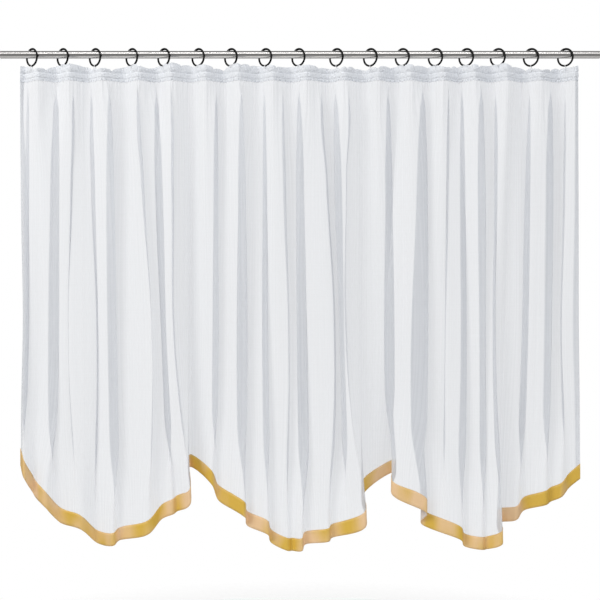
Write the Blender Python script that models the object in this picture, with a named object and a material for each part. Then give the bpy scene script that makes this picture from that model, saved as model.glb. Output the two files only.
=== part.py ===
"""Cafe curtain: sheer voile with a ruffled heading and a scalloped satin border, hung from a steel rod.

The curtain hangs from seventeen rings on one straight rod. Everything is in metres with +Z up. The
origin is the middle of the rod's axis. +X runs along the rod, and the front of the curtain faces -Y.
"""
import math
from collections import namedtuple

import bmesh
import bpy
import numpy as np
from mathutils import Matrix, Vector

MM = 0.001

# Rod and rings.
ROD_LENGTH = 1.500
ROD_DIAMETER = 0.019
ROD_SIDES = 48
RING_OUTER_DIAMETER = 0.0465
RING_WIRE_DIAMETER = 0.0048
RING_CROWN_SWELL = 0.0005
RING_DROP = 0.0070
RING_TURN = math.radians(41.5)
RING_SEGMENTS = 24
RING_SIDES = 6
RING_PLACES_MM = (
    -671, -594, -513, -421, -341, -255, -173, -87, -4, 91, 176, 256, 339, 416, 495, 578, 664,
)

# Heading: the gathered band that the rings are sewn to.
HEADING_LEFT = -0.700
HEADING_RIGHT = 0.692
HEADING_BOTTOM = -0.067
HEADING_THICKNESS = 0.0020
HEADING_ROWS = 2
HEADING_SAMPLES = 4
RING_TO_HEADING = 0.0060
GATHER_REACH = 0.018

# The uneven top edge of the ruffle: where along the rod, and how high.
EdgePoint = namedtuple("EdgePoint", "across height")
RUFFLE_EDGE_MM = (
    EdgePoint(-700, -30), EdgePoint(-680, -29), EdgePoint(-668, -38), EdgePoint(-636, -39),
    EdgePoint(-605, -26), EdgePoint(-580, -27), EdgePoint(-540, -31), EdgePoint(-512, -37),
    EdgePoint(-468, -41), EdgePoint(-440, -30), EdgePoint(-412, -26), EdgePoint(-382, -40),
    EdgePoint(-350, -28), EdgePoint(-322, -25), EdgePoint(-258, -29), EdgePoint(-225, -32),
    EdgePoint(-196, -40), EdgePoint(-167, -26), EdgePoint(-88, -30), EdgePoint(-45, -33),
    EdgePoint(-4, -29), EdgePoint(38, -32), EdgePoint(91, -38), EdgePoint(135, -34),
    EdgePoint(176, -38), EdgePoint(215, -32), EdgePoint(256, -28), EdgePoint(300, -31),
    EdgePoint(345, -29), EdgePoint(362, -41), EdgePoint(378, -31), EdgePoint(416, -28),
    EdgePoint(450, -31), EdgePoint(500, -25),
    EdgePoint(545, -34), EdgePoint(578, -38), EdgePoint(618, -42), EdgePoint(650, -32),
    EdgePoint(664, -36), EdgePoint(684, -29), EdgePoint(692, -31),
)

# Voile panel and satin border.
VOILE_THICKNESS = 0.0010
SATIN_THICKNESS = 0.0010
SATIN_WIDTH = 0.032
SEAM_GAP = 0.0003
PANEL_ROWS = 8
SPAN_SAMPLES = 3
SLOPE_SAMPLES = 17
FOLD_OPENING = 0.75

# The hem seen from above and in front, one row for each fold, from left to right. The cloth comes
# forward to the fold's turn, runs back and re-emerges one tuck to the left of it. The hem hangs one
# drop below the rod at the turn, and it is one step lower where the cloth re-emerges.
Fold = namedtuple("Fold", "turn tuck forward back drop step")
HEM_LEFT_MM = Fold(-700, 0, -6, -6, 1028, 0)
HEM_RIGHT_MM = Fold(701, 0, 2, 2, 1060, 0)
HEM_FOLDS_MM = (
    # Left scallop.
    Fold(-686, -20, 22, -4, 1056, 46),
    Fold(-634, -32, 22, -4, 1128, 42),
    Fold(-545, -35, 20, -8, 1184, 38),
    Fold(-464, -11, 22, 2, 1224, -9),
    Fold(-378, -32, 24, 0, 1196, -34),
    Fold(-318, -10, 14, 6, 1148, -6),
    Fold(-272, 8, 38, -34, 1120, -84),
    # Middle scallop.
    Fold(-222, -16, 8, -8, 1072, 42),
    Fold(-138, -5, 26, 4, 1152, 24),
    Fold(-80, -6, 26, 4, 1196, 22),
    Fold(-30, -10, 16, 8, 1238, 1),
    Fold(4, -8, 28, 8, 1236, -12),
    Fold(71, -8, 26, 10, 1213, -6),
    Fold(162, 6, 42, -12, 1174, -69),
    # Right scallop.
    Fold(242, 12, -28, 8, 1048, 50),
    Fold(314, 13, 28, 6, 1143, 27),
    Fold(400, -10, 24, 6, 1210, 18),
    Fold(452, -10, 22, 12, 1234, 1),
    Fold(499, 4, 44, -14, 1216, -41),
    Fold(540, -20, 6, -10, 1163, -20),
    Fold(612, -14, 14, 2, 1124, -6),
    Fold(652, -20, 10, -2, 1105, -20),
)


def clear_scene():
    for item in list(bpy.data.objects):
        bpy.data.objects.remove(item, do_unlink=True)


def make_material(name, colour, roughness, metallic=0.0):
    """One Principled material with a plain colour."""
    material = bpy.data.materials.new(name)
    material.use_nodes = True
    shader = material.node_tree.nodes["Principled BSDF"]
    shader.inputs["Base Color"].default_value = (*colour, 1.0)
    shader.inputs["Roughness"].default_value = roughness
    shader.inputs["Metallic"].default_value = metallic
    return material


def add_object(name, mesh, material):
    """Put a mesh in the scene as a named object with its own material."""
    item = bpy.data.objects.new(name, mesh)
    item.data.materials.append(material)
    bpy.context.scene.collection.objects.link(item)
    return item


def smooth_curve(points, samples):
    """Points of a centripetal Catmull-Rom curve, which passes through every given point."""
    points = np.asarray(points, dtype=float)
    before = 2 * points[0] - points[1]
    after = 2 * points[-1] - points[-2]
    padded = np.vstack([before, points, after])
    curve = []
    for p0, p1, p2, p3 in zip(padded, padded[1:], padded[2:], padded[3:]):
        a, b, c = (math.sqrt(np.linalg.norm(q - p)) for p, q in ((p0, p1), (p1, p2), (p2, p3)))
        leave = p2 - p1 + b * ((p1 - p0) / a - (p2 - p0) / (a + b))
        arrive = p2 - p1 + b * ((p3 - p2) / c - (p3 - p1) / (b + c))
        for step in range(samples):
            t = step / samples
            bend = 3 * (p2 - p1) - 2 * leave - arrive
            twist = 2 * (p1 - p2) + leave + arrive
            curve.append(p1 + leave * t + bend * t**2 + twist * t**3)
    curve.append(points[-1])
    return np.array(curve)


def run_along(curve):
    """Distance travelled along a plan curve, from 0 at its start."""
    steps = np.linalg.norm(np.diff(curve[:, :2], axis=0), axis=1)
    return np.concatenate([[0.0], np.cumsum(steps)])


def grid_normals(grid):
    """Unit normals of a grid of points, on the side that faces the front."""
    across = np.gradient(grid, axis=1)
    down = np.gradient(grid, axis=0)
    normals = np.cross(down, across)
    return normals / np.linalg.norm(normals, axis=2, keepdims=True)


def offset_grid(grid, distance):
    """The grid moved along its normals, towards the front when distance is positive."""
    return grid + grid_normals(grid) * distance


def sheet_mesh(name, front, back):
    """A closed sheet between two grids of points, each with rows down and columns across."""
    rows, columns = front.shape[:2]
    behind = rows * columns

    def at(row, column):
        return row * columns + column

    faces = []
    for row in range(rows - 1):
        for column in range(columns - 1):
            a, b = at(row, column), at(row + 1, column)
            c, d = at(row + 1, column + 1), at(row, column + 1)
            faces += [(a, b, c), (a, c, d)]
            faces += [(behind + c, behind + b, behind + a), (behind + d, behind + c, behind + a)]
    rim = [at(row, 0) for row in range(rows)]
    rim += [at(rows - 1, column) for column in range(1, columns)]
    rim += [at(row, columns - 1) for row in range(rows - 2, -1, -1)]
    rim += [at(0, column) for column in range(columns - 2, 0, -1)]
    for a, b in zip(rim, rim[1:] + rim[:1]):
        faces += [(b, a, behind + a), (b, behind + a, behind + b)]
    mesh = bpy.data.meshes.new(name)
    points = np.vstack([front.reshape(-1, 3), back.reshape(-1, 3)])
    mesh.from_pydata([tuple(p) for p in points], [], faces)
    mesh.validate()
    mesh.shade_smooth()
    mesh.set_sharp_from_angle(angle=math.radians(50))
    return mesh


def build_rod():
    """A plain round rod along X, with flat ends."""
    mesh = bpy.data.meshes.new("rod")
    shape = bmesh.new()
    bmesh.ops.create_cone(
        shape, cap_ends=True, segments=ROD_SIDES, radius1=ROD_DIAMETER / 2,
        radius2=ROD_DIAMETER / 2, depth=ROD_LENGTH, matrix=Matrix.Rotation(math.pi / 2, 4, "Y"))
    shape.to_mesh(mesh)
    shape.free()
    mesh.shade_smooth()
    mesh.set_sharp_from_angle(angle=math.radians(40))
    return add_object("rod", mesh, make_material("brushed_steel", (0.55, 0.54, 0.53), 0.3, 1.0))


def ring_mesh():
    """One ring in the XZ plane, its wire a little heavier over the crown."""
    shape = bmesh.new()
    wire = RING_WIRE_DIAMETER / 2
    centre_radius = RING_OUTER_DIAMETER / 2 - wire
    loops = []
    for segment in range(RING_SEGMENTS):
        angle = 2 * math.pi * segment / RING_SEGMENTS
        radius = wire + RING_CROWN_SWELL * max(0.0, math.sin(angle)) ** 6
        outward = Vector((math.cos(angle), 0, math.sin(angle)))
        loop = []
        for side in range(RING_SIDES):
            turn = 2 * math.pi * (side + 0.5) / RING_SIDES
            offset = outward * (centre_radius + radius * math.cos(turn))
            loop.append(shape.verts.new(offset + Vector((0, radius * math.sin(turn), 0))))
        loops.append(loop)
    for loop, following in zip(loops, loops[1:] + loops[:1]):
        for side in range(RING_SIDES):
            nxt = (side + 1) % RING_SIDES
            shape.faces.new((loop[side], following[side], following[nxt], loop[nxt]))
    bmesh.ops.recalc_face_normals(shape, faces=shape.faces[:])
    mesh = bpy.data.meshes.new("ring")
    shape.to_mesh(mesh)
    shape.free()
    mesh.shade_smooth()
    return mesh


def build_rings():
    """A ring at each place, its right limb in front of the rod and its left limb behind."""
    mesh = ring_mesh()
    black = make_material("black_lacquer", (0.006, 0.006, 0.006), 0.25)
    mesh.materials.append(black)
    for number, place in enumerate(RING_PLACES_MM, start=1):
        ring = bpy.data.objects.new(f"ring_{number:02d}", mesh)
        ring.location = (place * MM, 0, -RING_DROP)
        ring.rotation_euler = (0, 0, -RING_TURN)
        bpy.context.scene.collection.objects.link(ring)


def gather_line():
    """Plan of the heading: it crosses in front of each ring's plane, from back left to front right."""
    slope = math.tan(RING_TURN)
    clear = RING_TO_HEADING / math.cos(RING_TURN)
    points = [(HEADING_LEFT, -clear + 0.5 * slope * GATHER_REACH)]
    for place in RING_PLACES_MM:
        for offset in (-GATHER_REACH, 0.0, GATHER_REACH):
            points.append((place * MM + offset, -clear - slope * offset))
    points.append((HEADING_RIGHT, -clear - 0.6 * slope * GATHER_REACH))
    return smooth_curve(points, HEADING_SAMPLES)


def build_heading():
    """The gathered band, with its uneven ruffle above and a straight seam below."""
    plan = gather_line()
    edge = np.array(RUFFLE_EDGE_MM) * MM
    top = np.interp(plan[:, 0], edge[:, 0], edge[:, 1])
    grid = np.zeros((HEADING_ROWS + 1, len(plan), 3))
    for row in range(HEADING_ROWS + 1):
        share = row / HEADING_ROWS
        grid[row, :, :2] = plan
        grid[row, :, 2] = top * (1 - share) + HEADING_BOTTOM * share
    half = HEADING_THICKNESS / 2
    mesh = sheet_mesh("heading", offset_grid(grid, half), offset_grid(grid, -half))
    return add_object("heading", mesh, make_material("gathered_voile", (0.80, 0.83, 0.89), 0.8))


def hem_curve():
    """The hem as x, y and drop, through the turn and the tuck of every fold."""
    points = [(HEM_LEFT_MM.turn, -HEM_LEFT_MM.forward, HEM_LEFT_MM.drop)]
    for fold in HEM_FOLDS_MM:
        points.append((fold.turn, -fold.forward, fold.drop))
        points.append((fold.turn - fold.tuck, -fold.back, fold.drop + fold.step))
    points.append((HEM_RIGHT_MM.turn, -HEM_RIGHT_MM.forward, HEM_RIGHT_MM.drop))
    return smooth_curve(np.array(points) * MM, SPAN_SAMPLES)


def border_height(hem):
    """Upright height of the satin at each column, so that it is one width across a sloping hem."""
    run = run_along(hem)
    slope = np.gradient(hem[:, 2], run)
    reach = SLOPE_SAMPLES // 2
    slope = np.convolve(np.pad(slope, reach, mode="edge"), np.ones(SLOPE_SAMPLES), mode="valid")
    slope /= SLOPE_SAMPLES
    return SATIN_WIDTH * np.sqrt(1 + slope**2)


def cloth_grid():
    """Middle surface of the hanging cloth. Its last two rows are the border's top and the hem."""
    hem = hem_curve()
    run = run_along(hem)
    gather = gather_line()
    top_x = HEADING_LEFT + (HEADING_RIGHT - HEADING_LEFT) * run / run[-1]
    top_y = np.interp(top_x, gather[:, 0], gather[:, 1])
    seam = -HEADING_BOTTOM + SEAM_GAP
    border_top = hem[:, 2] - border_height(hem)
    drops = [seam + (border_top - seam) * row / PANEL_ROWS for row in range(PANEL_ROWS + 1)]
    drops.append(hem[:, 2])
    grid = np.zeros((len(drops), len(hem), 3))
    for row, drop in enumerate(drops):
        share = (drop - seam) / (hem[:, 2] - seam)
        opened = share**FOLD_OPENING
        grid[row, :, 0] = top_x * (1 - share) + hem[:, 0] * share
        grid[row, :, 1] = top_y * (1 - opened) + hem[:, 1] * opened
        grid[row, :, 2] = -drop
    return grid


def build_voile():
    """The sheer panel, from the heading's seam to the scalloped hem."""
    grid = cloth_grid()
    half = VOILE_THICKNESS / 2
    mesh = sheet_mesh("voile_panel", offset_grid(grid, half), offset_grid(grid, -half))
    return add_object("voile_panel", mesh, make_material("sheer_voile", (0.84, 0.86, 0.90), 0.8))


def build_border():
    """The satin band sewn to the front of the voile along the hem."""
    grid = cloth_grid()
    lift = VOILE_THICKNESS / 2 + SEAM_GAP
    back = offset_grid(grid, lift)[-2:]
    front = offset_grid(grid, lift + SATIN_THICKNESS)[-2:]
    mesh = sheet_mesh("satin_border", front, back)
    return add_object("satin_border", mesh, make_material("gold_satin", (0.80, 0.47, 0.15), 0.4))


clear_scene()
build_rod()
build_rings()
build_heading()
build_voile()
build_border()
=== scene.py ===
# %% [markdown]
# A sheer cafe curtain on its rod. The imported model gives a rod, seventeen rings and plain solids
# for the cloth. Here each of them gets the surface of the real thing: fine voile that light passes
# through, a crinkled heading, a satin ribbon along the hem, lacquered rings and brushed steel. The
# rod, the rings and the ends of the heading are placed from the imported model's boxes, and the cloth
# lies on the same table of folds as its solid.

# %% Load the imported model
import math
from collections import namedtuple

import bpy
import numpy as np
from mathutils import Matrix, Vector


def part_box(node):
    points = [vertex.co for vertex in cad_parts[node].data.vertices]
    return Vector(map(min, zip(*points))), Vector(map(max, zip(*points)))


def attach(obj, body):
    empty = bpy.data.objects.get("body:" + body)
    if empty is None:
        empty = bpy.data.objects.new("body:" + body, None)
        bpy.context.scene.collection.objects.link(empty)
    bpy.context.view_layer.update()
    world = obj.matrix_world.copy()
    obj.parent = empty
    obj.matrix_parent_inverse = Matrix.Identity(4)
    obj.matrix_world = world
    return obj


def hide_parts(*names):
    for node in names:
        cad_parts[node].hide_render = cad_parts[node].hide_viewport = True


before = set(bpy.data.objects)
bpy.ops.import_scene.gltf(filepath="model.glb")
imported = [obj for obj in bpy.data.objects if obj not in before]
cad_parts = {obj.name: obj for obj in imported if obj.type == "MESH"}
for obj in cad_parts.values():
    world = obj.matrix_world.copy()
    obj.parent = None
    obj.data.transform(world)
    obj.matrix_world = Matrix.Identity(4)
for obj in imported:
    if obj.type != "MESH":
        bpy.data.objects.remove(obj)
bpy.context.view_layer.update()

MM = 0.001
rod_low, rod_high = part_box("rod")
heading_low, heading_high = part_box("heading")
panel_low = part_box("voile_panel")[0]

# %% [markdown]
# Colours are written as the hex values that a paint or fabric card would give, and one function
# turns them into the linear numbers that Blender's sockets hold. A second function adds a node: a
# setting that names a socket goes to the socket, any other is a property of the node, and links
# join its inputs to the outputs of nodes that are there already.


# %% Colours and nodes
def colour(code):
    """An sRGB hex code as linear red, green, blue and alpha."""
    parts = [int(code[place:place + 2], 16) / 255 for place in (1, 3, 5)]
    linear = [
        part / 12.92 if part <= 0.04045 else ((part + 0.055) / 1.055) ** 2.4 for part in parts]
    return (*linear, 1.0)


def add_node(tree, kind, settings=None, links=None):
    """Add a shader node with its settings and its links."""
    node = tree.nodes.new("ShaderNode" + kind)
    for key, value in (settings or {}).items():
        if isinstance(key, int) or key in node.inputs:
            node.inputs[key].default_value = value
        else:
            setattr(node, key, value)
    for key, source in (links or {}).items():
        tree.links.new(source, node.inputs[key])
    return node


def new_finish(name):
    """An empty material with its Principled shader, and the tree to add nodes to."""
    finish = bpy.data.materials.new(name)
    finish.use_nodes = True
    return finish, finish.node_tree, finish.node_tree.nodes["Principled BSDF"]


# %% [markdown]
# Every smooth line here, the hem seen from above and the gathers of the heading, passes through a
# few given points. A centripetal Catmull-Rom curve does that without loops, even where a long easy
# run meets a tight fold. The line is then divided into equal steps, because cloth has the same
# threads everywhere, however it is folded.


# %% Smooth lines through chosen points
def smooth_curve(points, samples):
    """Points of a centripetal Catmull-Rom curve, which passes through every given point."""
    points = np.asarray(points, dtype=float)
    before = 2 * points[0] - points[1]
    after = 2 * points[-1] - points[-2]
    padded = np.vstack([before, points, after])
    curve = []
    for p0, p1, p2, p3 in zip(padded, padded[1:], padded[2:], padded[3:]):
        a, b, c = (math.sqrt(np.linalg.norm(q - p)) for p, q in ((p0, p1), (p1, p2), (p2, p3)))
        leave = p2 - p1 + b * ((p1 - p0) / a - (p2 - p0) / (a + b))
        arrive = p2 - p1 + b * ((p3 - p2) / c - (p3 - p1) / (b + c))
        for step in range(samples):
            t = step / samples
            bend = 3 * (p2 - p1) - 2 * leave - arrive
            twist = 2 * (p1 - p2) + leave + arrive
            curve.append(p1 + leave * t + bend * t**2 + twist * t**3)
    curve.append(points[-1])
    return np.array(curve)


def run_along(curve):
    """Distance travelled along a plan curve, from 0 at its start."""
    steps = np.linalg.norm(np.diff(curve[:, :2], axis=0), axis=1)
    return np.concatenate([[0.0], np.cumsum(steps)])


def look_up(curve, run, where):
    """The curve's columns at the given distances along it."""
    return np.stack([np.interp(where, run, column) for column in curve.T], axis=-1)


# %% [markdown]
# A row in this table is one fold of the hem. The cloth comes forward to the fold's turn, runs back
# and re-emerges one tuck to the left of it, or to the right where the tuck is negative. Forward and
# back say how far in front of the rod's middle the cloth is. The hem hangs one drop below the rod at
# the turn, and it is one step lower where the cloth re-emerges. All are in millimetres. The same
# rows shape the solid that carries the collision, so the fine cloth lies on the same folds.

# %% The folds of the hem
Fold = namedtuple("Fold", "turn tuck forward back drop step")
HEM_LEFT_MM = Fold(-700, 0, -6, -6, 1028, 0)
HEM_RIGHT_MM = Fold(701, 0, 2, 2, 1060, 0)
LEFT_SCALLOP_MM = (
    Fold(-686, -20, 22, -4, 1056, 46),
    Fold(-634, -32, 22, -4, 1128, 42),
    Fold(-545, -35, 20, -8, 1184, 38),
    Fold(-464, -11, 22, 2, 1224, -9),
    Fold(-378, -32, 24, 0, 1196, -34),
    Fold(-318, -10, 14, 6, 1148, -6),
    Fold(-272, 8, 38, -34, 1120, -84),
)
MIDDLE_SCALLOP_MM = (
    Fold(-222, -16, 8, -8, 1072, 42),
    Fold(-138, -5, 26, 4, 1152, 24),
    Fold(-80, -6, 26, 4, 1196, 22),
    Fold(-30, -10, 16, 8, 1238, 1),
    Fold(4, -8, 28, 8, 1236, -12),
    Fold(71, -8, 26, 10, 1213, -6),
    Fold(162, 6, 42, -12, 1174, -69),
)
RIGHT_SCALLOP_MM = (
    Fold(242, 12, -28, 8, 1048, 50),
    Fold(314, 13, 28, 6, 1143, 27),
    Fold(400, -10, 24, 6, 1210, 18),
    Fold(452, -10, 22, 12, 1234, 1),
    Fold(499, 4, 44, -14, 1216, -41),
    Fold(540, -20, 6, -10, 1163, -20),
    Fold(612, -14, 14, 2, 1124, -6),
    Fold(652, -20, 10, -2, 1105, -20),
)


def hem_curve():
    """The hem as x, y and drop, through the turn and the tuck of every fold."""
    points = [(HEM_LEFT_MM.turn, -HEM_LEFT_MM.forward, HEM_LEFT_MM.drop)]
    for fold in LEFT_SCALLOP_MM + MIDDLE_SCALLOP_MM + RIGHT_SCALLOP_MM:
        points.append((fold.turn, -fold.forward, fold.drop))
        points.append((fold.turn - fold.tuck, -fold.back, fold.drop + fold.step))
    points.append((HEM_RIGHT_MM.turn, -HEM_RIGHT_MM.forward, HEM_RIGHT_MM.drop))
    return smooth_curve(np.array(points) * MM, 24)


hem = hem_curve()
hem_run = run_along(hem)
cloth_width = hem_run[-1]
fullness = cloth_width / np.ptp(hem[:, 0])
print(f"flat width of the voile: {cloth_width:.3f} m, fullness {fullness:.2f}")

# %% [markdown]
# The rings are places along the rod. The gathered heading crosses in front of each ring's plane,
# from back left to front right, and swings back between the rings. That line seen from above is
# shared by the heading and by the top of the voile, which are one cloth.

# %% The line of the gathers
RING_TURN = math.radians(41.5)
RING_TO_HEADING = 6.0 * MM
GATHER_REACH = 18 * MM
ring_names = [f"ring_{number:02d}" for number in range(1, 18)]
ring_places = [(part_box(name)[0][0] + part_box(name)[1][0]) / 2 for name in ring_names]


def gather_curve():
    """Plan of the heading and of the voile's top."""
    slope = math.tan(RING_TURN)
    clear = RING_TO_HEADING / math.cos(RING_TURN)
    points = [(heading_low[0], -clear + 0.5 * slope * GATHER_REACH)]
    for place in ring_places:
        for offset in (-GATHER_REACH, 0.0, GATHER_REACH):
            points.append((place + offset, -clear - slope * offset))
    points.append((heading_high[0], -clear - 0.6 * slope * GATHER_REACH))
    return smooth_curve(points, 24)


gather = gather_curve()
gather_run = run_along(gather)
print(f"heading runs {gather_run[-1]:.3f} m along its waves")

# %% [markdown]
# Gathers and soft waves are never even. A ripple here is a sum of a few sine waves whose lengths
# are real pleat widths in millimetres and whose phases come from a seeded generator, so that it
# looks irregular and is the same on every run. Each wave also drifts in and out of step over about
# a quarter of a metre. The sum stays between about -1 and 1.


# %% Uneven ripples
def ripple(where, widths_mm, seed):
    """An uneven wave along a distance in metres, made of the given pleat widths."""
    phases = np.random.default_rng(seed).uniform(0, 2 * math.pi, (len(widths_mm), 2))
    wave = np.zeros_like(where)
    for width, (phase, drift) in zip(widths_mm, phases):
        wander = 0.9 * np.sin(2 * math.pi * where / (0.23 + 0.004 * width) + drift)
        wave += np.sin(2 * math.pi * where / (width * MM) + phase + wander)
    return wave / math.sqrt(2 * len(widths_mm))


def ease(value, start, end):
    """A smooth step from 0 at start to 1 at end."""
    share = np.clip((value - start) / (end - start), 0, 1)
    return share * share * (3 - 2 * share)


# %% [markdown]
# Below the heading the cloth is wider than the rod's length, and it takes the rest up in pleats,
# where it runs forward, back and forward again. Three layers lie on each other there, and they show
# as the long denser strips of a sheer curtain. A pleat starts narrow at the heading, grows wider on
# its way down and narrows again into a fold of the hem. A row is one pleat: the place of its fold on
# the hem, how wide the strip grows, and whether its left or its right side lies in front.

# %% The pleats of the hanging cloth
Pleat = namedtuple("Pleat", "fold width front")
LEFT, RIGHT = -1, 1
PLEATS_MM = (
    Pleat(-688, 14, LEFT), Pleat(-618, 34, RIGHT), Pleat(-560, 14, RIGHT), Pleat(-512, 18, LEFT),
    Pleat(-459, 30, LEFT), Pleat(-368, 22, LEFT), Pleat(-318, 32, LEFT), Pleat(-275, 17, LEFT),
    Pleat(-214, 20, LEFT), Pleat(-136, 26, LEFT), Pleat(-78, 15, LEFT), Pleat(-30, 13, LEFT),
    Pleat(8, 27, LEFT), Pleat(75, 16, LEFT), Pleat(118, 32, RIGHT), Pleat(160, 15, LEFT),
    Pleat(238, 24, LEFT), Pleat(308, 34, LEFT), Pleat(358, 13, RIGHT), Pleat(405, 20, LEFT),
    Pleat(457, 25, LEFT), Pleat(497, 17, LEFT), Pleat(550, 22, RIGHT), Pleat(615, 24, LEFT),
    Pleat(660, 15, RIGHT),
)
PLEAT_OVERLAP = 1.7
PLEAT_DEPTH = 3.5 * MM
SEAM_DROP = 67.3 * MM
hem_reached = np.maximum.accumulate(hem[:, 0])  # the hem runs back at its tucks


def pleats_at(along, drops, share):
    """Sideways and backward shift of the cloth by its pleats."""
    aside, behind = np.zeros_like(share), np.zeros_like(share)
    depth = drops - SEAM_DROP
    strength = ease(depth, -5 * MM, 70 * MM) * (1 - ease(share, 0.78, 0.97))
    opened = (
        0.30 + 0.45 * ease(depth, 0, 0.25) + 0.25 * ease(depth, 0.2, 0.6)
        - 0.35 * ease(share, 0.6, 1))
    for pleat in PLEATS_MM:
        place = np.interp(pleat.fold * MM, hem_reached, hem_run)
        spread = pleat.width * MM * opened
        u = (along - place) / spread
        aside -= PLEAT_OVERLAP * spread * u * np.exp(-u * u / 2) * strength
        stack = u / np.sqrt(0.3 + u * u) * np.exp(-u * u / 8)
        behind -= pleat.front * PLEAT_DEPTH * stack * strength
    return aside, behind


# %% [markdown]
# The hanging cloth is one function: given how far across the flat cloth a thread is, and how far it
# is below the rod, it returns the place in the room. The folds open on the way down. Small gathers
# start at the heading and die out at different heights, and long soft waves run between the main
# folds. Both push the cloth along its own normal, as real pleats do.

# %% The hanging cloth as a function
FOLD_OPENING = 0.75
NEIGHBOUR = 0.4 * MM


def folds_at(along, drops):
    """Folds and pleats: x and y for rows of drops over one row of distances across the cloth."""
    hem_x, hem_y, hem_drop = look_up(hem, hem_run, along).T
    top_x = heading_low[0] + (heading_high[0] - heading_low[0]) * along / cloth_width
    top_y = np.interp(top_x, gather[:, 0], gather[:, 1])
    share = np.clip((drops - SEAM_DROP) / (hem_drop - SEAM_DROP), 0, 1)
    opened = share**FOLD_OPENING
    aside, behind = pleats_at(along, drops, share)
    x = top_x * (1 - share) + hem_x * share + aside
    y = top_y * (1 - opened) + hem_y * opened + behind
    return x, y, share


def small_folds(along, drops, share):
    """How far the gathers and the soft waves stand out of the main folds, in metres."""
    depth = drops - SEAM_DROP
    reach = 0.09 + 0.07 * ripple(along, (61, 97, 143), 3)
    gathers = 1.3 * MM * ripple(along, (8.5, 11, 15, 19), 5)
    gathers = gathers * np.exp(-depth / np.maximum(reach, 0.02))
    sway = 2.0 * MM * ripple(along + 0.02 * share, (71, 109), 9) * ease(depth, 0.05, 0.4)
    return gathers + sway * (1 - 0.7 * ease(share, 0.8, 1))


def cloth_points(along, drops):
    """Points and front normals of the voile for rows of drops over one row of distances."""
    drops = drops + 0 * along
    x, y, share = folds_at(along, drops)
    right, left = folds_at(along + NEIGHBOUR, drops), folds_at(along - NEIGHBOUR, drops)
    step_x, step_y = right[0] - left[0], right[1] - left[1]
    length = np.hypot(step_x, step_y)
    normals = np.stack([step_y / length, -step_x / length, 0 * x], axis=-1)
    points = np.stack([x, y, -drops], axis=-1)
    return points + normals * small_folds(along, drops, share)[..., None], normals


# %% [markdown]
# A grid of points becomes a mesh in one step. The distance across the flat cloth and the drop go in
# as the UV map, in metres, so that any weave or streak painted by it follows the threads.


# %% Meshes from grids of points
def grid_faces(rows, columns, first=0):
    """Four-sided faces of a grid, facing the front, with rows down and columns across."""
    corner = first + np.arange(rows * columns).reshape(rows, columns)
    a, b = corner[:-1, :-1], corner[1:, :-1]
    c, d = corner[1:, 1:], corner[:-1, 1:]
    return np.stack([a, b, c, d], axis=-1).reshape(-1, 4)


def rim_faces(rows, columns):
    """Faces that close the edge between a front grid and the back grid that follows it."""
    corner = np.arange(rows * columns).reshape(rows, columns)
    around = [*corner[:, 0], *corner[-1, 1:], *corner[-2::-1, -1], *corner[0, -2:0:-1]]
    behind = rows * columns
    return [(b, a, behind + a, behind + b) for a, b in zip(around, around[1:] + around[:1])]


def add_piece(name, points, faces, finish, uvs=None):
    """A smooth mesh object with one finish, and a UV map in metres where given."""
    mesh = bpy.data.meshes.new(name)
    mesh.from_pydata(points.reshape(-1, 3).tolist(), [], [list(map(int, face)) for face in faces])
    mesh.materials.append(finish)
    mesh.shade_smooth()
    if uvs is not None:
        corners = np.empty(len(mesh.loops), dtype=np.int32)
        mesh.loops.foreach_get("vertex_index", corners)
        layer = mesh.uv_layers.new(name="cloth")
        layer.data.foreach_set("uv", uvs.reshape(-1, 2)[corners].astype(np.float32).ravel())
    piece = bpy.data.objects.new(name, mesh)
    bpy.context.scene.collection.objects.link(piece)
    return piece


# %% [markdown]
# The voile is polyester, woven plain from yarn as fine as hair and heat-set, so it is matt and very
# white and nearly half of it is air. The eye sees what is behind through one layer and much less
# through two, which is what draws the folds. A Principled shader with alpha gives exactly that, and
# each layer adds up by itself. The yarns are 0.25 mm apart, too fine to show here, so the streaks
# are drawn as the bunches of yarn that the eye picks out, about 5 mm wide and very long. Slubs, the
# thick places of single yarns, run across them and are drawn 3 mm thick.

# %% Sheer voile finish
STREAKS_PER_METRE = (210, 1.2, 1)
SLUBS_PER_METRE = (12, 300, 1)
voile, tree, shader = new_finish("sheer_voile")
cloth_uv = add_node(tree, "UVMap", {"uv_map": "cloth"})
streak_scale = add_node(
    tree, "Mapping", {"Scale": STREAKS_PER_METRE}, {"Vector": cloth_uv.outputs["UV"]})
streaks = add_node(
    tree, "TexNoise", {"Scale": 1.0, "Detail": 3.0, "Roughness": 0.6},
    {"Vector": streak_scale.outputs["Vector"]})
slub_scale = add_node(
    tree, "Mapping", {"Scale": SLUBS_PER_METRE}, {"Vector": cloth_uv.outputs["UV"]})
slubs = add_node(
    tree, "TexNoise", {"Scale": 1.0, "Detail": 2.0, "Roughness": 0.5},
    {"Vector": slub_scale.outputs["Vector"]})
streak_cover = add_node(
    tree, "MapRange", {"From Min": 0.3, "From Max": 0.7, "To Min": 0.52, "To Max": 0.62},
    {"Value": streaks.outputs["Fac"]})
slub_cover = add_node(
    tree, "MapRange", {"From Min": 0.3, "From Max": 0.7, "To Min": -0.008, "To Max": 0.008},
    {"Value": slubs.outputs["Fac"]})
cover = add_node(
    tree, "Math", {"operation": "ADD", "use_clamp": True},
    {0: streak_cover.outputs["Result"], 1: slub_cover.outputs["Result"]})
tree.links.new(cover.outputs["Value"], shader.inputs["Alpha"])
voile_tone = add_node(
    tree, "Mix", {"data_type": "RGBA", 6: colour("#DFE3EA"), 7: colour("#EAECF0")},
    {0: streaks.outputs["Fac"]})
tree.links.new(voile_tone.outputs[2], shader.inputs["Base Color"])
crimp = add_node(
    tree, "Bump", {"Strength": 0.25, "Distance": 0.0006}, {"Height": streaks.outputs["Fac"]})
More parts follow.
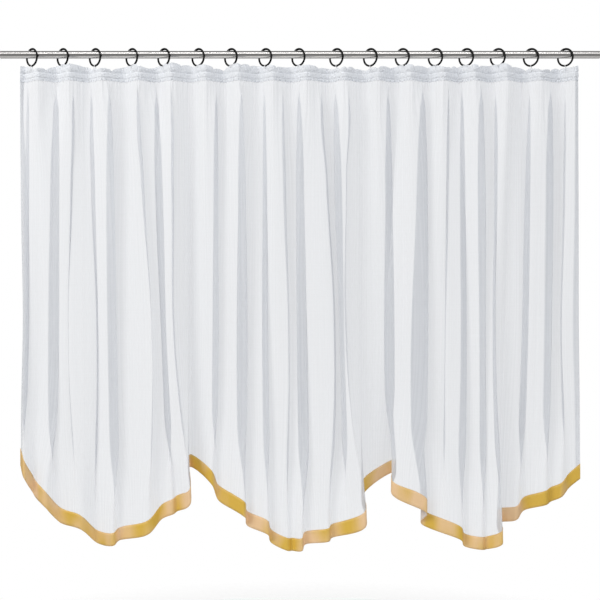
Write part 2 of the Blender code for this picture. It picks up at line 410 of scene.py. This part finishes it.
tree.links.new(crimp.outputs["Normal"], shader.inputs["Normal"])
shader.inputs["Roughness"].default_value = 0.85
shader.inputs["Specular IOR Level"].default_value = 0.3
shader.inputs["Sheen Weight"].default_value = 0.15
shader.inputs["Sheen Roughness"].default_value = 0.4
print("voile finish has", len(tree.nodes), "nodes")

# %% [markdown]
# The panel is one thin sheet. Its two side edges are turned to the back once, 12 mm wide, as a
# sewing machine does it, so the cloth is double there and looks denser. Its top is tucked 1 mm
# behind the heading. The rows of the grid are closer together near the heading, where the gathers
# change quickly.

# %% The voile panel
SIDE_HEM = 12 * MM
SIDE_HEM_GAP = 0.7 * MM
TOP_OVERLAP = 4 * MM
PANEL_COLUMNS = 1420
PANEL_ROWS = 64
across = np.linspace(-SIDE_HEM, cloth_width + SIDE_HEM, PANEL_COLUMNS)
inside = np.abs(across)
inside = np.where(inside > cloth_width, 2 * cloth_width - inside, inside)
down = np.linspace(0, 1, PANEL_ROWS)[:, None] ** 1.25
drops = (SEAM_DROP - TOP_OVERLAP) * (1 - down) + np.interp(inside, hem_run, hem[:, 2]) * down
points, normals = cloth_points(inside, drops)
turned = np.maximum(-across, across - cloth_width)
tucked_in = 1.0 * MM * ease(-drops, -SEAM_DROP - 6 * MM, -SEAM_DROP)
points -= normals * (SIDE_HEM_GAP * ease(turned, 0, 1.5 * MM) + tucked_in)[..., None]
uvs = np.stack([across + 0 * drops, drops], axis=-1)
voile_sheet = add_piece("voile_sheet", points, grid_faces(PANEL_ROWS, PANEL_COLUMNS), voile, uvs)
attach(voile_sheet, "root")
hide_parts("voile_panel")

# %% [markdown]
# The ribbon is polyester satin, where long floats of shiny yarn cover the face, so it gleams in a
# soft band across the floats and goes from deep gold to peach with the light. That is anisotropy
# for the stretched highlight and a peach sheen for the glow at grazing angles. The real floats are
# 0.1 mm wide, so the ribs here are drawn at about 1 mm. The base colour also wanders from the gold
# to the peach of the highlights over about 60 mm. That is painted sheen, laid at random and not
# where the light falls.

# %% Gold satin finish
FLOATS_PER_METRE = (900, 60, 1)
PEACH_SHEEN_PATCHES_PER_METRE = (16, 5, 1)
satin, tree, shader = new_finish("gold_satin")
satin_uv = add_node(tree, "UVMap", {"uv_map": "cloth"})
float_scale = add_node(
    tree, "Mapping", {"Scale": FLOATS_PER_METRE}, {"Vector": satin_uv.outputs["UV"]})
floats = add_node(
    tree, "TexNoise", {"Scale": 1.0, "Detail": 2.0}, {"Vector": float_scale.outputs["Vector"]})
# painted sheen: random patches, about 60 mm wide, of the highlights' peach
peach_sheen_scale = add_node(
    tree, "Mapping", {"Scale": PEACH_SHEEN_PATCHES_PER_METRE}, {"Vector": satin_uv.outputs["UV"]})
peach_sheen_patches = add_node(
    tree, "TexNoise", {"Scale": 1.0, "Detail": 1.0}, {"Vector": peach_sheen_scale.outputs["Vector"]})
peach_sheen_share = add_node(
    tree, "MapRange", {"From Min": 0.40, "From Max": 0.60}, {"Value": peach_sheen_patches.outputs["Fac"]})
# the gold base colour with the painted peach sheen mixed in
gold_and_painted_sheen = add_node(
    tree, "Mix", {"data_type": "RGBA", 6: colour("#E6BD4E"), 7: colour("#F9D3A4")},
    {0: peach_sheen_share.outputs["Result"]})
float_tone = add_node(
    tree, "Mix", {"data_type": "RGBA", "blend_type": "MULTIPLY", 0: 0.10},
    {6: gold_and_painted_sheen.outputs[2], 7: floats.outputs["Fac"]})
tree.links.new(float_tone.outputs[2], shader.inputs["Base Color"])
ribs = add_node(
    tree, "Bump", {"Strength": 0.15, "Distance": 0.0003}, {"Height": floats.outputs["Fac"]})
tree.links.new(ribs.outputs["Normal"], shader.inputs["Normal"])
shader.inputs["Roughness"].default_value = 0.42
shader.inputs["Specular IOR Level"].default_value = 0.6
shader.inputs["Anisotropic"].default_value = 0.5
shader.inputs["Sheen Weight"].default_value = 0.35
shader.inputs["Sheen Roughness"].default_value = 0.35
shader.inputs["Sheen Tint"].default_value = colour("#FFC9A0")

# %% [markdown]
# The ribbon lies on the front of the voile and follows every fold of it, half a millimetre thick
# and 32 mm wide across the hem. Where the hem slopes, its upright height grows, so that it stays one
# width. Sewing draws it in a little between stitches, which leaves a soft pucker.

# %% The satin ribbon
SATIN_WIDTH = 32 * MM
SATIN_THICKNESS = 0.5 * MM
SATIN_LIFT = 0.9 * MM
HEM_OVERHANG = 0.8 * MM
PUCKER = 0.25 * MM
SLOPE_REACH = 0.10
RIBBON_COLUMNS = 1300
RIBBON_ROWS = 7


def ribbon_edge(along):
    """Drop of the ribbon's lower edge, just past the hem."""
    return np.interp(along, hem_run, hem[:, 2]) + HEM_OVERHANG


def ribbon_pucker(along, share):
    """How far the sewing moves the ribbon in or out; share is 0 at its top and 1 at its edge."""
    return PUCKER * ripple(along, (9, 14, 21), 12) * (1 - share * 0.3)


def ribbon_height(along):
    """Upright height of the ribbon at each distance across the cloth."""
    left = np.clip(along - SLOPE_REACH, 0, cloth_width)
    right = np.clip(along + SLOPE_REACH, 0, cloth_width)
    rise = np.interp(right, hem_run, hem[:, 2]) - np.interp(left, hem_run, hem[:, 2])
    slope = rise / (right - left)
    return SATIN_WIDTH * np.sqrt(1 + slope**2)


ribbon_along = np.linspace(0, cloth_width, RIBBON_COLUMNS)
ribbon_hem = ribbon_edge(ribbon_along)
ribbon_across = np.linspace(0, 1, RIBBON_ROWS)[:, None]
ribbon_drops = ribbon_hem - ribbon_height(ribbon_along) * (1 - ribbon_across)
middle, normals = cloth_points(ribbon_along, ribbon_drops)
pucker = ribbon_pucker(ribbon_along, ribbon_across)
front = middle + normals * (SATIN_LIFT + SATIN_THICKNESS / 2 + pucker)[..., None]
back = middle + normals * (SATIN_LIFT - SATIN_THICKNESS / 2 + pucker)[..., None]
faces = [
    *grid_faces(RIBBON_ROWS, RIBBON_COLUMNS),
    *grid_faces(RIBBON_ROWS, RIBBON_COLUMNS, RIBBON_ROWS * RIBBON_COLUMNS)[:, ::-1],
    *rim_faces(RIBBON_ROWS, RIBBON_COLUMNS),
]
ribbon_uv = np.stack([np.broadcast_to(ribbon_along, ribbon_drops.shape), ribbon_drops], axis=-1)
ribbon = add_piece(
    "satin_ribbon", np.stack([front, back]), faces, satin, np.stack([ribbon_uv, ribbon_uv]))
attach(ribbon, "root")
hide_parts("satin_border")

# %% [markdown]
# The heading is the same voile, doubled and gathered on its tape, so it is nearly opaque, bluish
# white and full of crinkles. Light is caught between its layers, which the shader answers with a
# high alpha that still varies from pleat to pleat. The fine pleats are drawn 6 mm wide. Their shade
# is painted into the colour as well: darker in the hollows of the pleats and lighter on their crests.

# %% Gathered voile finish
FINE_PLEATS_PER_METRE = (170, 45, 1)
gathered, tree, shader = new_finish("gathered_voile")
gather_uv = add_node(tree, "UVMap", {"uv_map": "cloth"})
pleat_scale = add_node(
    tree, "Mapping", {"Scale": FINE_PLEATS_PER_METRE}, {"Vector": gather_uv.outputs["UV"]})
pleats = add_node(
    tree, "TexNoise", {"Scale": 1.0, "Detail": 4.0, "Roughness": 0.6, "Distortion": 0.6},
    {"Vector": pleat_scale.outputs["Vector"]})
pleat_cover = add_node(
    tree, "MapRange", {"From Min": 0.3, "From Max": 0.7, "To Min": 0.86, "To Max": 0.98},
    {"Value": pleats.outputs["Fac"]})
tree.links.new(pleat_cover.outputs["Result"], shader.inputs["Alpha"])
# painted shade and light: darker in the pleats' hollows, lighter on their crests, by the bump's noise
pleat_painted_shade = add_node(
    tree, "Mix", {"data_type": "RGBA", 6: colour("#DDE2EA"), 7: colour("#F3F5F9")},
    {0: pleats.outputs["Fac"]})
tree.links.new(pleat_painted_shade.outputs[2], shader.inputs["Base Color"])
crinkle = add_node(
    tree, "Bump", {"Strength": 0.5, "Distance": 0.0012}, {"Height": pleats.outputs["Fac"]})
tree.links.new(crinkle.outputs["Normal"], shader.inputs["Normal"])
shader.inputs["Roughness"].default_value = 0.8
shader.inputs["Sheen Weight"].default_value = 0.2

# %% [markdown]
# Two gathering threads run along the heading. Between them the cloth puffs out a little, and above
# them it flares into a ruffle of rounded puffs whose top edge rises and falls. The uneven edge is a
# short table: how far along the rod, and how high. Fine pleats change at each thread, as they do
# when cloth is drawn up.

# %% The ruffled heading
EdgePoint = namedtuple("EdgePoint", "across height")
RUFFLE_EDGE_MM = (
    EdgePoint(-700, -30), EdgePoint(-680, -29), EdgePoint(-668, -38), EdgePoint(-636, -39),
    EdgePoint(-605, -26), EdgePoint(-580, -27), EdgePoint(-540, -31), EdgePoint(-512, -37),
    EdgePoint(-468, -41), EdgePoint(-440, -30), EdgePoint(-412, -26), EdgePoint(-382, -40),
    EdgePoint(-350, -28), EdgePoint(-322, -25), EdgePoint(-258, -29), EdgePoint(-225, -32),
    EdgePoint(-196, -40), EdgePoint(-167, -26), EdgePoint(-88, -30), EdgePoint(-45, -33),
    EdgePoint(-4, -29), EdgePoint(38, -32), EdgePoint(91, -38), EdgePoint(135, -34),
    EdgePoint(176, -38), EdgePoint(215, -32), EdgePoint(256, -28), EdgePoint(300, -31),
    EdgePoint(345, -29), EdgePoint(362, -41), EdgePoint(378, -31), EdgePoint(416, -28),
    EdgePoint(450, -31), EdgePoint(500, -25),
    EdgePoint(545, -34), EdgePoint(578, -38), EdgePoint(618, -42), EdgePoint(650, -32),
    EdgePoint(664, -36), EdgePoint(684, -29), EdgePoint(692, -31),
)
UPPER_THREAD = -47 * MM
LOWER_THREAD = -61 * MM
PUFF_WIDTH = 44 * MM
PUFF_DEPTH = 4.0 * MM
PUFF_CROWN = 6.0 * MM
HEADING_COLUMNS = 1750
HEADING_ROWS = 36
ruffle_edge = np.array(RUFFLE_EDGE_MM) * MM
heading_foot = heading_low[2] - 1.0 * MM


def ruffle_puffs(along):
    """Rounded puffs of uneven width with sharp tucks between them, from 0 to 1."""
    wander = 1.6 * ripple(along, (83, 131, 190), 20)
    return np.abs(np.sin(math.pi * along / PUFF_WIDTH + wander)) ** 0.4


def ruffle_top(along):
    """Height of the ruffle's edge: the table, made round, with a small crown on every puff."""
    x = np.interp(along, gather_run, gather[:, 0])
    edge = sum(np.interp(x + step * MM, *ruffle_edge.T) for step in (-10, -5, 0, 5, 10)) / 5
    crown = PUFF_CROWN * (ruffle_puffs(along) - 0.75)
    return edge + crown + 0.4 * MM * ripple(along, (6, 9), 21)


def heading_points(along, share):
    """Points and front normals of the heading; share is 0 at the ruffle's edge, 1 at the seam."""
    x, y = look_up(gather, gather_run, along).T
    z = ruffle_top(along) * (1 - share) + heading_foot * share
    step_x = np.interp(along, gather_run, np.gradient(gather[:, 0], gather_run))
    step_y = np.interp(along, gather_run, np.gradient(gather[:, 1], gather_run))
    length = np.hypot(step_x, step_y)
    normals = np.stack([step_y / length, -step_x / length, 0 * x], axis=-1)
    normals = np.broadcast_to(normals, (*z.shape, 3))
    above = ease(z, UPPER_THREAD, UPPER_THREAD + 7 * MM)
    flatter = 1 - 0.75 * ease(z, -36 * MM, -27 * MM)
    puff = PUFF_DEPTH * (ruffle_puffs(along) - 0.5) * above * flatter
    ruffle = 1.1 * MM * ripple(along + 0.25 * z, (7, 10, 15), 22) * (0.35 + 0.65 * above)
    crush = 0.9 * MM * ripple(along - 0.5 * z, (9, 14, 22), 25)
    crush = crush * ripple(z + 0.1 * along, (9, 13), 26)
    band = ease(z, LOWER_THREAD, LOWER_THREAD + 4 * MM)
    band = band * ease(-z, -UPPER_THREAD, -UPPER_THREAD + 4 * MM)
    between = band * (0.8 * MM + 0.6 * MM * ripple(along, (5, 7, 10), 23))
    below = ease(-z, -LOWER_THREAD, -heading_low[2]) * 1.0 * MM * ripple(along, (8.5, 11, 15), 24)
    drawn = 0.9 * MM * sum(
        np.exp(-((z - thread) / MM) ** 2) for thread in (UPPER_THREAD, LOWER_THREAD))
    points = np.stack([np.broadcast_to(x, z.shape), np.broadcast_to(y, z.shape), z], axis=-1)
    return points + normals * (puff + ruffle + crush + between + below - drawn)[..., None], normals


heading_along = np.linspace(0, gather_run[-1], HEADING_COLUMNS)
heading_share = np.linspace(0, 1, HEADING_ROWS)[:, None]
points, normals = heading_points(heading_along, heading_share)
uvs = np.stack([np.broadcast_to(heading_along, points.shape[:2]), -points[..., 2]], axis=-1)
ruffle = add_piece(
    "ruffled_heading", points, grid_faces(HEADING_ROWS, HEADING_COLUMNS), gathered, uvs)
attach(ruffle, "root")
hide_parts("heading")
print(f"heading: {len(ruffle.data.polygons)} faces")

# %% [markdown]
# The sewing thread is spun polyester, white on the heading and gold on the ribbon. Each stitch is a
# short bowed tube whose ends sink into the cloth. The tubes of one seam are joined into one mesh,
# and so are the small loops that sew each ring to the heading.


# %% Thread finishes and tubes
def thread_finish(name, code):
    """Spun polyester sewing thread: matt, with its twist drawn as fine slanting ridges."""
    finish, tree, shader = new_finish(name)
    place = add_node(tree, "TexCoord")
    twist_scale = add_node(
        tree, "Mapping", {"Scale": (900, 900, 900), "Rotation": (0, 0, 0.6)},
        {"Vector": place.outputs["Object"]})
    twist = add_node(tree, "TexWave", {"Scale": 1.0, "Distortion": 2.0},
                     {"Vector": twist_scale.outputs["Vector"]})
    tone = add_node(
        tree, "Mix", {"data_type": "RGBA", "blend_type": "MULTIPLY", 0: 0.12, 6: colour(code)},
        {7: twist.outputs["Color"]})
    tree.links.new(tone.outputs[2], shader.inputs["Base Color"])
    ridge = add_node(tree, "Bump", {"Strength": 0.3, "Distance": 0.0001},
                     {"Height": twist.outputs["Fac"]})
    tree.links.new(ridge.outputs["Normal"], shader.inputs["Normal"])
    shader.inputs["Roughness"].default_value = 0.65
    return finish


def add_tubes(name, paths, radius, sides, finish, closed=False):
    """One mesh of round tubes along many paths of points."""
    points, faces = [], []
    for path in paths:
        path = np.asarray(path)
        ahead = np.roll(path, -1, axis=0) - np.roll(path, 1, axis=0)
        if not closed:
            ahead[0], ahead[-1] = path[1] - path[0], path[-1] - path[-2]
        ahead /= np.linalg.norm(ahead, axis=1, keepdims=True)
        side = np.cross(ahead, (0.31, -0.89, 0.33))
        side /= np.linalg.norm(side, axis=1, keepdims=True)
        other = np.cross(ahead, side)
        first, count = len(points), len(path)
        for centre, u, v in zip(path, side, other):
            for turn in np.linspace(0, 2 * math.pi, sides, endpoint=False):
                points.append(centre + radius * (u * math.cos(turn) + v * math.sin(turn)))
        for ring in range(count if closed else count - 1):
            for spoke in range(sides):
                a, b = first + ring * sides + spoke, first + ring * sides + (spoke + 1) % sides
                c = first + (ring + 1) % count * sides + (spoke + 1) % sides
                d = first + (ring + 1) % count * sides + spoke
                faces.append((a, b, c, d))
        if not closed:
            faces.append(tuple(range(first + sides - 1, first - 1, -1)))
            last = first + (count - 1) * sides
            faces.append(tuple(range(last, last + sides)))
    return add_piece(name, np.array(points), faces, finish)


white_thread = thread_finish("white_thread", "#F2F3F5")
gold_thread = thread_finish("gold_thread", "#E2B25C")

# %% [markdown]
# The ribbon is held by two rows of machine stitches, 1.5 mm inside its edges, and the heading by
# its two gathering threads. A stitch is 2.6 mm long with a gap of 0.9 mm. Its middle stands 0.2 mm
# proud of the cloth, and its ends sink in as far.

# %% Seams
STITCH = 2.6 * MM
STITCH_PITCH = 3.5 * MM
THREAD_RADIUS = 0.18 * MM
STITCH_BOW_MM = (-0.2, 0.2, 0.2, -0.2)


def stitches_until(end):
    """Distances along a seam, four for each stitch, and how far each of them stands out."""
    starts = np.arange(2 * MM, end, STITCH_PITCH)
    along = (starts[:, None] + STITCH * np.linspace(0, 1, len(STITCH_BOW_MM))).ravel()
    return along, np.tile(STITCH_BOW_MM, len(starts)) * MM


def ribbon_stitches(inset, from_hem):
    """Paths of the stitches in one row, on the ribbon's front."""
    along, bow = stitches_until(cloth_width - 2 * MM)
    edge, height = ribbon_edge(along), ribbon_height(along)
    drop = edge - inset if from_hem else edge - height + inset
    points, normals = cloth_points(along, drop[None, :])
    share = (drop - edge + height) / height
    lift = SATIN_LIFT + SATIN_THICKNESS / 2 + ribbon_pucker(along, share) + bow
    return list((points[0] + normals[0] * lift[:, None]).reshape(-1, 4, 3))


def heading_stitches(height):
    """Paths of the stitches of one gathering thread, on the heading's front."""
    along, bow = stitches_until(gather_run[-1] - 4 * MM)
    top = ruffle_top(along)
    share = (top - height) / (top - heading_foot)
    points, normals = heading_points(along, share[None, :])
    return list((points[0] + normals[0] * bow[:, None]).reshape(-1, 4, 3))


ribbon_seam = add_tubes(
    "ribbon_seam", ribbon_stitches(1.5 * MM, True) + ribbon_stitches(1.5 * MM, False),
    THREAD_RADIUS, 5, gold_thread)
gathering_seam = add_tubes(
    "gathering_seam", heading_stitches(UPPER_THREAD) + heading_stitches(LOWER_THREAD),
    THREAD_RADIUS, 5, white_thread)
for seam, slot in ((ribbon_seam, "gold_satin"), (gathering_seam, "heading_voile")):
    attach(seam, "root")
    print(f"{seam.name}: {len(seam.data.polygons)} faces")

# %% [markdown]
# The rings are bent from thin steel tube under black lacquer, which keeps them light. The lacquer is
# deep black with a weak highlight and no colour. Where a ring slides on the rod the coat is rubbed
# a little duller, which the roughness shows with a noise of about 3 mm.

# %% Black lacquer finish
lacquer, tree, shader = new_finish("black_lacquer")
place = add_node(tree, "TexCoord")
rub = add_node(
    tree, "TexNoise", {"Scale": 300.0, "Detail": 3.0}, {"Vector": place.outputs["Object"]})
dull = add_node(
    tree, "MapRange", {"From Min": 0.35, "From Max": 0.7, "To Min": 0.22, "To Max": 0.45},
    {"Value": rub.outputs["Fac"]})
tree.links.new(dull.outputs["Result"], shader.inputs["Roughness"])
coat_tone = add_node(
    tree, "Mix", {"data_type": "RGBA", 6: colour("#020202"), 7: colour("#060606")},
    {0: rub.outputs["Fac"]})
tree.links.new(coat_tone.outputs[2], shader.inputs["Base Color"])
peel = add_node(
    tree, "Bump", {"Strength": 0.1, "Distance": 0.0002}, {"Height": rub.outputs["Fac"]})
tree.links.new(peel.outputs["Normal"], shader.inputs["Normal"])
shader.inputs["Specular IOR Level"].default_value = 0.1
shader.inputs["Coat Weight"].default_value = 0.05
shader.inputs["Coat Roughness"].default_value = 0.15

# %% [markdown]
# Each ring is a round tube bent into a circle, a little heavier over its crown. That extra black
# over the crown stands in for the dark reflection of the ring in the steel rod below it, so it is
# partly a painted reflection. It hangs on the rod with its plane turned by RING_TURN, its right limb
# in front. The points are made in the ring's own plane, then turned, and placed from the box of the
# ring in the imported model.

# %% The rings
RING_RADIUS = 23.25 * MM
WIRE_RADIUS = 2.4 * MM
# extra black on the crown that stands in for the ring's dark reflection in the rod
CROWN_SWELL_FOR_DARK_REFLECTION = 0.5 * MM
RING_DROP = 7.0 * MM
RING_STEPS = 96
WIRE_STEPS = 16


def ring_points(place):
    """Points of one ring, turned and placed."""
    around = np.linspace(0, 2 * math.pi, RING_STEPS, endpoint=False)[:, None]
    turn = np.linspace(0, 2 * math.pi, WIRE_STEPS, endpoint=False)[None, :]
    wire = WIRE_RADIUS + CROWN_SWELL_FOR_DARK_REFLECTION * np.maximum(0, np.sin(around)) ** 6
    reach = RING_RADIUS - WIRE_RADIUS + wire * np.cos(turn)
    flat_x, flat_y = reach * np.cos(around), wire * np.sin(turn)
    x = place + flat_x * math.cos(RING_TURN) + flat_y * math.sin(RING_TURN)
    y = -flat_x * math.sin(RING_TURN) + flat_y * math.cos(RING_TURN)
    return np.stack([x, y, reach * np.sin(around) - RING_DROP], axis=-1)


corner = np.arange(RING_STEPS * WIRE_STEPS).reshape(RING_STEPS, WIRE_STEPS)
next_around, next_turn = np.roll(corner, -1, axis=0), np.roll(corner, -1, axis=1)
both = np.roll(next_around, -1, axis=1)
ring_faces = np.stack([corner, next_turn, both, next_around], axis=-1).reshape(-1, 4)
for name, place in zip(ring_names, ring_places):
    ring = add_piece(f"{name}_lacquered", ring_points(place), ring_faces, lacquer)
    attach(ring, "root")
    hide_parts(name)
print(f"rings: {len(ring_names)}, each {len(ring_faces)} faces")

# %% [markdown]
# Three turns of thread hold each ring to the heading. A turn is a slim loop that goes round the
# wire at the ring's lowest point and through the cloth in front of it, below the ruffle's edge.

# %% The thread loops
LOOP_STEPS = 26
LOOP_RADIUS = 0.3 * MM
LOOP_HALF_WIDTH = 2.9 * MM
LOOP_PAST_WIRE = 2.5 * MM
LOOP_BELOW_EDGE = 3.5 * MM
LOOP_SHIFTS_MM = (-0.8, 0.1, 0.9)


def thread_loops():
    """Closed paths of the loops at every ring."""
    paths = []
    clear = RING_TO_HEADING / math.cos(RING_TURN)
    for place in ring_places:
        wire = np.array([place, 0.0, WIRE_RADIUS - RING_RADIUS - RING_DROP])
        edge = np.interp(place, ruffle_edge[:, 0], ruffle_edge[:, 1])
        cloth = np.array([place, -clear, min(edge - LOOP_BELOW_EDGE, wire[2] - 1 * MM)])
        out = (cloth - wire) / np.linalg.norm(cloth - wire)
        tangent = np.array([math.cos(RING_TURN), -math.sin(RING_TURN), 0.0])
        across = np.cross(out, tangent)
        across /= np.linalg.norm(across)
        middle, half = (wire + cloth) / 2, np.linalg.norm(cloth - wire) / 2 + LOOP_PAST_WIRE
        for shift in LOOP_SHIFTS_MM:
            turn = np.linspace(0, 2 * math.pi, LOOP_STEPS, endpoint=False)[:, None]
            long = half * np.sign(np.cos(turn)) * np.abs(np.cos(turn)) ** 0.7
            wide = LOOP_HALF_WIDTH * np.sign(np.sin(turn)) * np.abs(np.sin(turn)) ** 0.7
            slant = 0.4 * MM * np.sin(turn)
            paths.append(middle + out * long + across * wide + tangent * (shift * MM + slant))
    return paths


loops = add_tubes("ring_threads", thread_loops(), LOOP_RADIUS, 6, white_thread, closed=True)
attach(loops, "root")
print(f"thread loops: {len(loops.data.polygons)} faces")

# %% [markdown]
# The rod is stainless steel tube, ground and brushed along its length. Brushing leaves fine lines
# that spread a highlight around the tube and keep it sharp along it. The lines are 0.05 mm apart in
# the steel and drawn about 1 mm apart, as long streaks in the roughness and a slight bump.

# %% Brushed steel finish
BRUSH_LINES_PER_METRE = (1.2, 900, 900)
steel, tree, shader = new_finish("brushed_steel")
place = add_node(tree, "TexCoord")
brush_scale = add_node(
    tree, "Mapping", {"Scale": BRUSH_LINES_PER_METRE}, {"Vector": place.outputs["Object"]})
brush = add_node(
    tree, "TexNoise", {"Scale": 1.0, "Detail": 3.0}, {"Vector": brush_scale.outputs["Vector"]})
brushed = add_node(
    tree, "MapRange", {"From Min": 0.3, "From Max": 0.7, "To Min": 0.15, "To Max": 0.18},
    {"Value": brush.outputs["Fac"]})
tree.links.new(brushed.outputs["Result"], shader.inputs["Roughness"])
steel_tone = add_node(
    tree, "Mix", {"data_type": "RGBA", 6: colour("#D2D0CE"), 7: colour("#DDDBD9")},
    {0: brush.outputs["Fac"]})
tree.links.new(steel_tone.outputs[2], shader.inputs["Base Color"])
lines = add_node(
    tree, "Bump", {"Strength": 0.01, "Distance": 0.0001}, {"Height": brush.outputs["Fac"]})
tree.links.new(lines.outputs["Normal"], shader.inputs["Normal"])
shader.inputs["Metallic"].default_value = 1.0
shader.inputs["Anisotropic"].default_value = 0.3

# %% [markdown]
# The rod is turned: a profile from the middle of one end, round a 0.8 mm chamfer, along the tube
# and into the other end. Rings of points at each step of the profile make the whole surface.

# %% The rod
ROD_STEPS = 96
CHAMFER = 0.8 * MM
ROD_CENTRE_HOLE = 0.15 * MM
rod_radius = (rod_high[2] - rod_low[2]) / 2
end = rod_high[0]
right_half = [
    (end - 2 * CHAMFER, rod_radius), (end - CHAMFER, rod_radius),
    (end - 0.25 * CHAMFER, rod_radius - 0.3 * CHAMFER), (end, rod_radius - CHAMFER),
    (end, ROD_CENTRE_HOLE),
]
profile = [(-x, radius) for x, radius in reversed(right_half)] + right_half
turn = np.linspace(0, 2 * math.pi, ROD_STEPS, endpoint=False)
rings = [np.stack([0 * turn + x, r * np.cos(turn), r * np.sin(turn)], axis=-1) for x, r in profile]
faces = []
for row in range(len(profile) - 1):
    for step in range(ROD_STEPS):
        following = (step + 1) % ROD_STEPS
        a, b = row * ROD_STEPS + step, (row + 1) * ROD_STEPS + step
        faces.append((a, row * ROD_STEPS + following, (row + 1) * ROD_STEPS + following, b))
faces.append(tuple(range(ROD_STEPS - 1, -1, -1)))
faces.append(tuple(range((len(profile) - 1) * ROD_STEPS, len(profile) * ROD_STEPS)))
rod = add_piece("steel_rod", np.array(rings), faces, steel)
rod.data.set_sharp_from_angle(angle=math.radians(50))
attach(rod, "root")
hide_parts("rod")
print(f"rod: {2 * end:.2f} m long, {2 * rod_radius / MM:.1f} mm thick")

# %% [markdown]

# %% [markdown]
# The studio is plain: a white surround, a pale floor well below the hem, one large soft light from
# the upper left that rakes across the folds, a weaker one from the right, and a strip above for the
# rod's highlight. The floor fades out before its rim, so it has no edge. The camera sees white
# beyond the cloth, while the cloth itself is lit by a softer sky that is dark at the horizon and
# overhead, which gives the round steel its bands.

# %% The floor
floor_finish, tree, shader = new_finish("pale_floor")
place = add_node(tree, "TexCoord")
cloud = add_node(
    tree, "TexNoise", {"Scale": 3.0, "Detail": 3.0}, {"Vector": place.outputs["Object"]})
floor_tone = add_node(
    tree, "Mix", {"data_type": "RGBA", 6: colour("#F4F4F3"), 7: colour("#FAFAF9")},
    {0: cloud.outputs["Fac"]})
tree.links.new(floor_tone.outputs[2], shader.inputs["Base Color"])
FLOOR_DEPTH = 0.45
FLOOR_RADIUS = 1.6
FADE_START = 0.6
FLOOR_STEPS = 96
spread = add_node(tree, "VectorMath", {"operation": "LENGTH"}, {0: place.outputs["Object"]})
fade = add_node(
    tree, "MapRange",
    {"From Min": FADE_START, "From Max": FLOOR_RADIUS, "To Min": 1.0, "To Max": 0.0},
    {"Value": spread.outputs["Value"]})
tree.links.new(fade.outputs["Result"], shader.inputs["Alpha"])
shader.inputs["Roughness"].default_value = 0.9
around = np.linspace(0, 2 * math.pi, FLOOR_STEPS, endpoint=False)
floor_points = FLOOR_RADIUS * np.stack([np.cos(around), np.sin(around), 0 * around], axis=-1)
floor = add_piece("floor", floor_points, [tuple(range(FLOOR_STEPS))], floor_finish)
floor.location = (0, 0, panel_low[2] - FLOOR_DEPTH)


# %% The lights and the surround
def add_light(name, size, power, place, aim, tint="#FFFFFF"):
    """A soft rectangular light at a place, pointed at aim."""
    lamp = bpy.data.lights.new(name, "AREA")
    lamp.shape = "RECTANGLE"
    lamp.size, lamp.size_y = size
    lamp.energy = power
    lamp.color = colour(tint)[:3]
    light = bpy.data.objects.new(name, lamp)
    light.location = place
    light.rotation_euler = (Vector(aim) - Vector(place)).to_track_quat("-Z", "Y").to_euler()
    bpy.context.scene.collection.objects.link(light)


middle_height = (panel_low[2] + rod_high[2]) / 2
aim = (0, 0, middle_height)
add_light("key_light", (1.6, 1.6), 45, (-2.6, -2.0, 0.9), aim, "#FFFDF9")
add_light("fill_light", (2.0, 2.0), 14, (2.8, -2.4, 0.2), aim, "#F4F8FF")
add_light("rod_light", (2.4, 0.25), 10, (0, -1.6, 1.5), (0, 0, 0))

sky = bpy.data.worlds.new("studio_sky")
bpy.context.scene.world = sky
sky.use_nodes = True
tree = sky.node_tree
tree.nodes.clear()
direction = add_node(tree, "TexCoord")
apart = add_node(tree, "SeparateXYZ", None, {"Vector": direction.outputs["Generated"]})
split = add_node(
    tree, "MapRange", {"From Min": -1.0, "From Max": 1.0}, {"Value": apart.outputs["Z"]})
glow = add_node(tree, "ValToRGB", None, {"Fac": split.outputs["Result"]})
# from straight down, 0, over the horizon, 0.5, to straight up, 1
GLOW_STOPS = (
    (0.0, 0.60), (0.25, 0.22), (0.46, 0.12), (0.54, 0.30), (0.62, 0.90), (0.88, 0.95), (0.96, 0.25))
ramp = glow.color_ramp.elements
ramp[-1].position = GLOW_STOPS[-1][0]
for stop, strength in GLOW_STOPS[1:-1]:
    ramp.new(stop)
for element, (stop, strength) in zip(ramp, GLOW_STOPS):
    element.color = (strength, strength, strength, 1)
sky_light = add_node(tree, "Background", {"Strength": 1.0}, {"Color": glow.outputs["Color"]})
white = add_node(tree, "Background", {"Color": (1, 1, 1, 1), "Strength": 1.0})
seen = add_node(tree, "LightPath")
surround = add_node(
    tree, "MixShader", None,
    {0: seen.outputs["Is Camera Ray"], 1: sky_light.outputs["Background"],
     2: white.outputs["Background"]})
add_node(tree, "OutputWorld", None, {"Surface": surround.outputs["Shader"]})

# %% [markdown]
# The camera stands 3 m in front of the curtain, level with its middle, with a lens of 72 mm on a
# 36 mm sensor. That is far enough for the folds to hang nearly parallel, and near enough for the
# rings on the left to look narrower than those on the right.

# %% The camera
LENS = 72.4
CAMERA_DISTANCE = 3.02
CAMERA_HEIGHT = -0.614
lens = bpy.data.cameras.new("camera")
lens.lens = LENS
lens.sensor_width = 36
camera = bpy.data.objects.new("camera", lens)
camera.location = (0, -CAMERA_DISTANCE, CAMERA_HEIGHT)
camera.rotation_euler = (math.radians(90), 0, 0)
bpy.context.scene.collection.objects.link(camera)
bpy.context.scene.camera = camera
bpy.context.scene.view_settings.view_transform = "Standard"
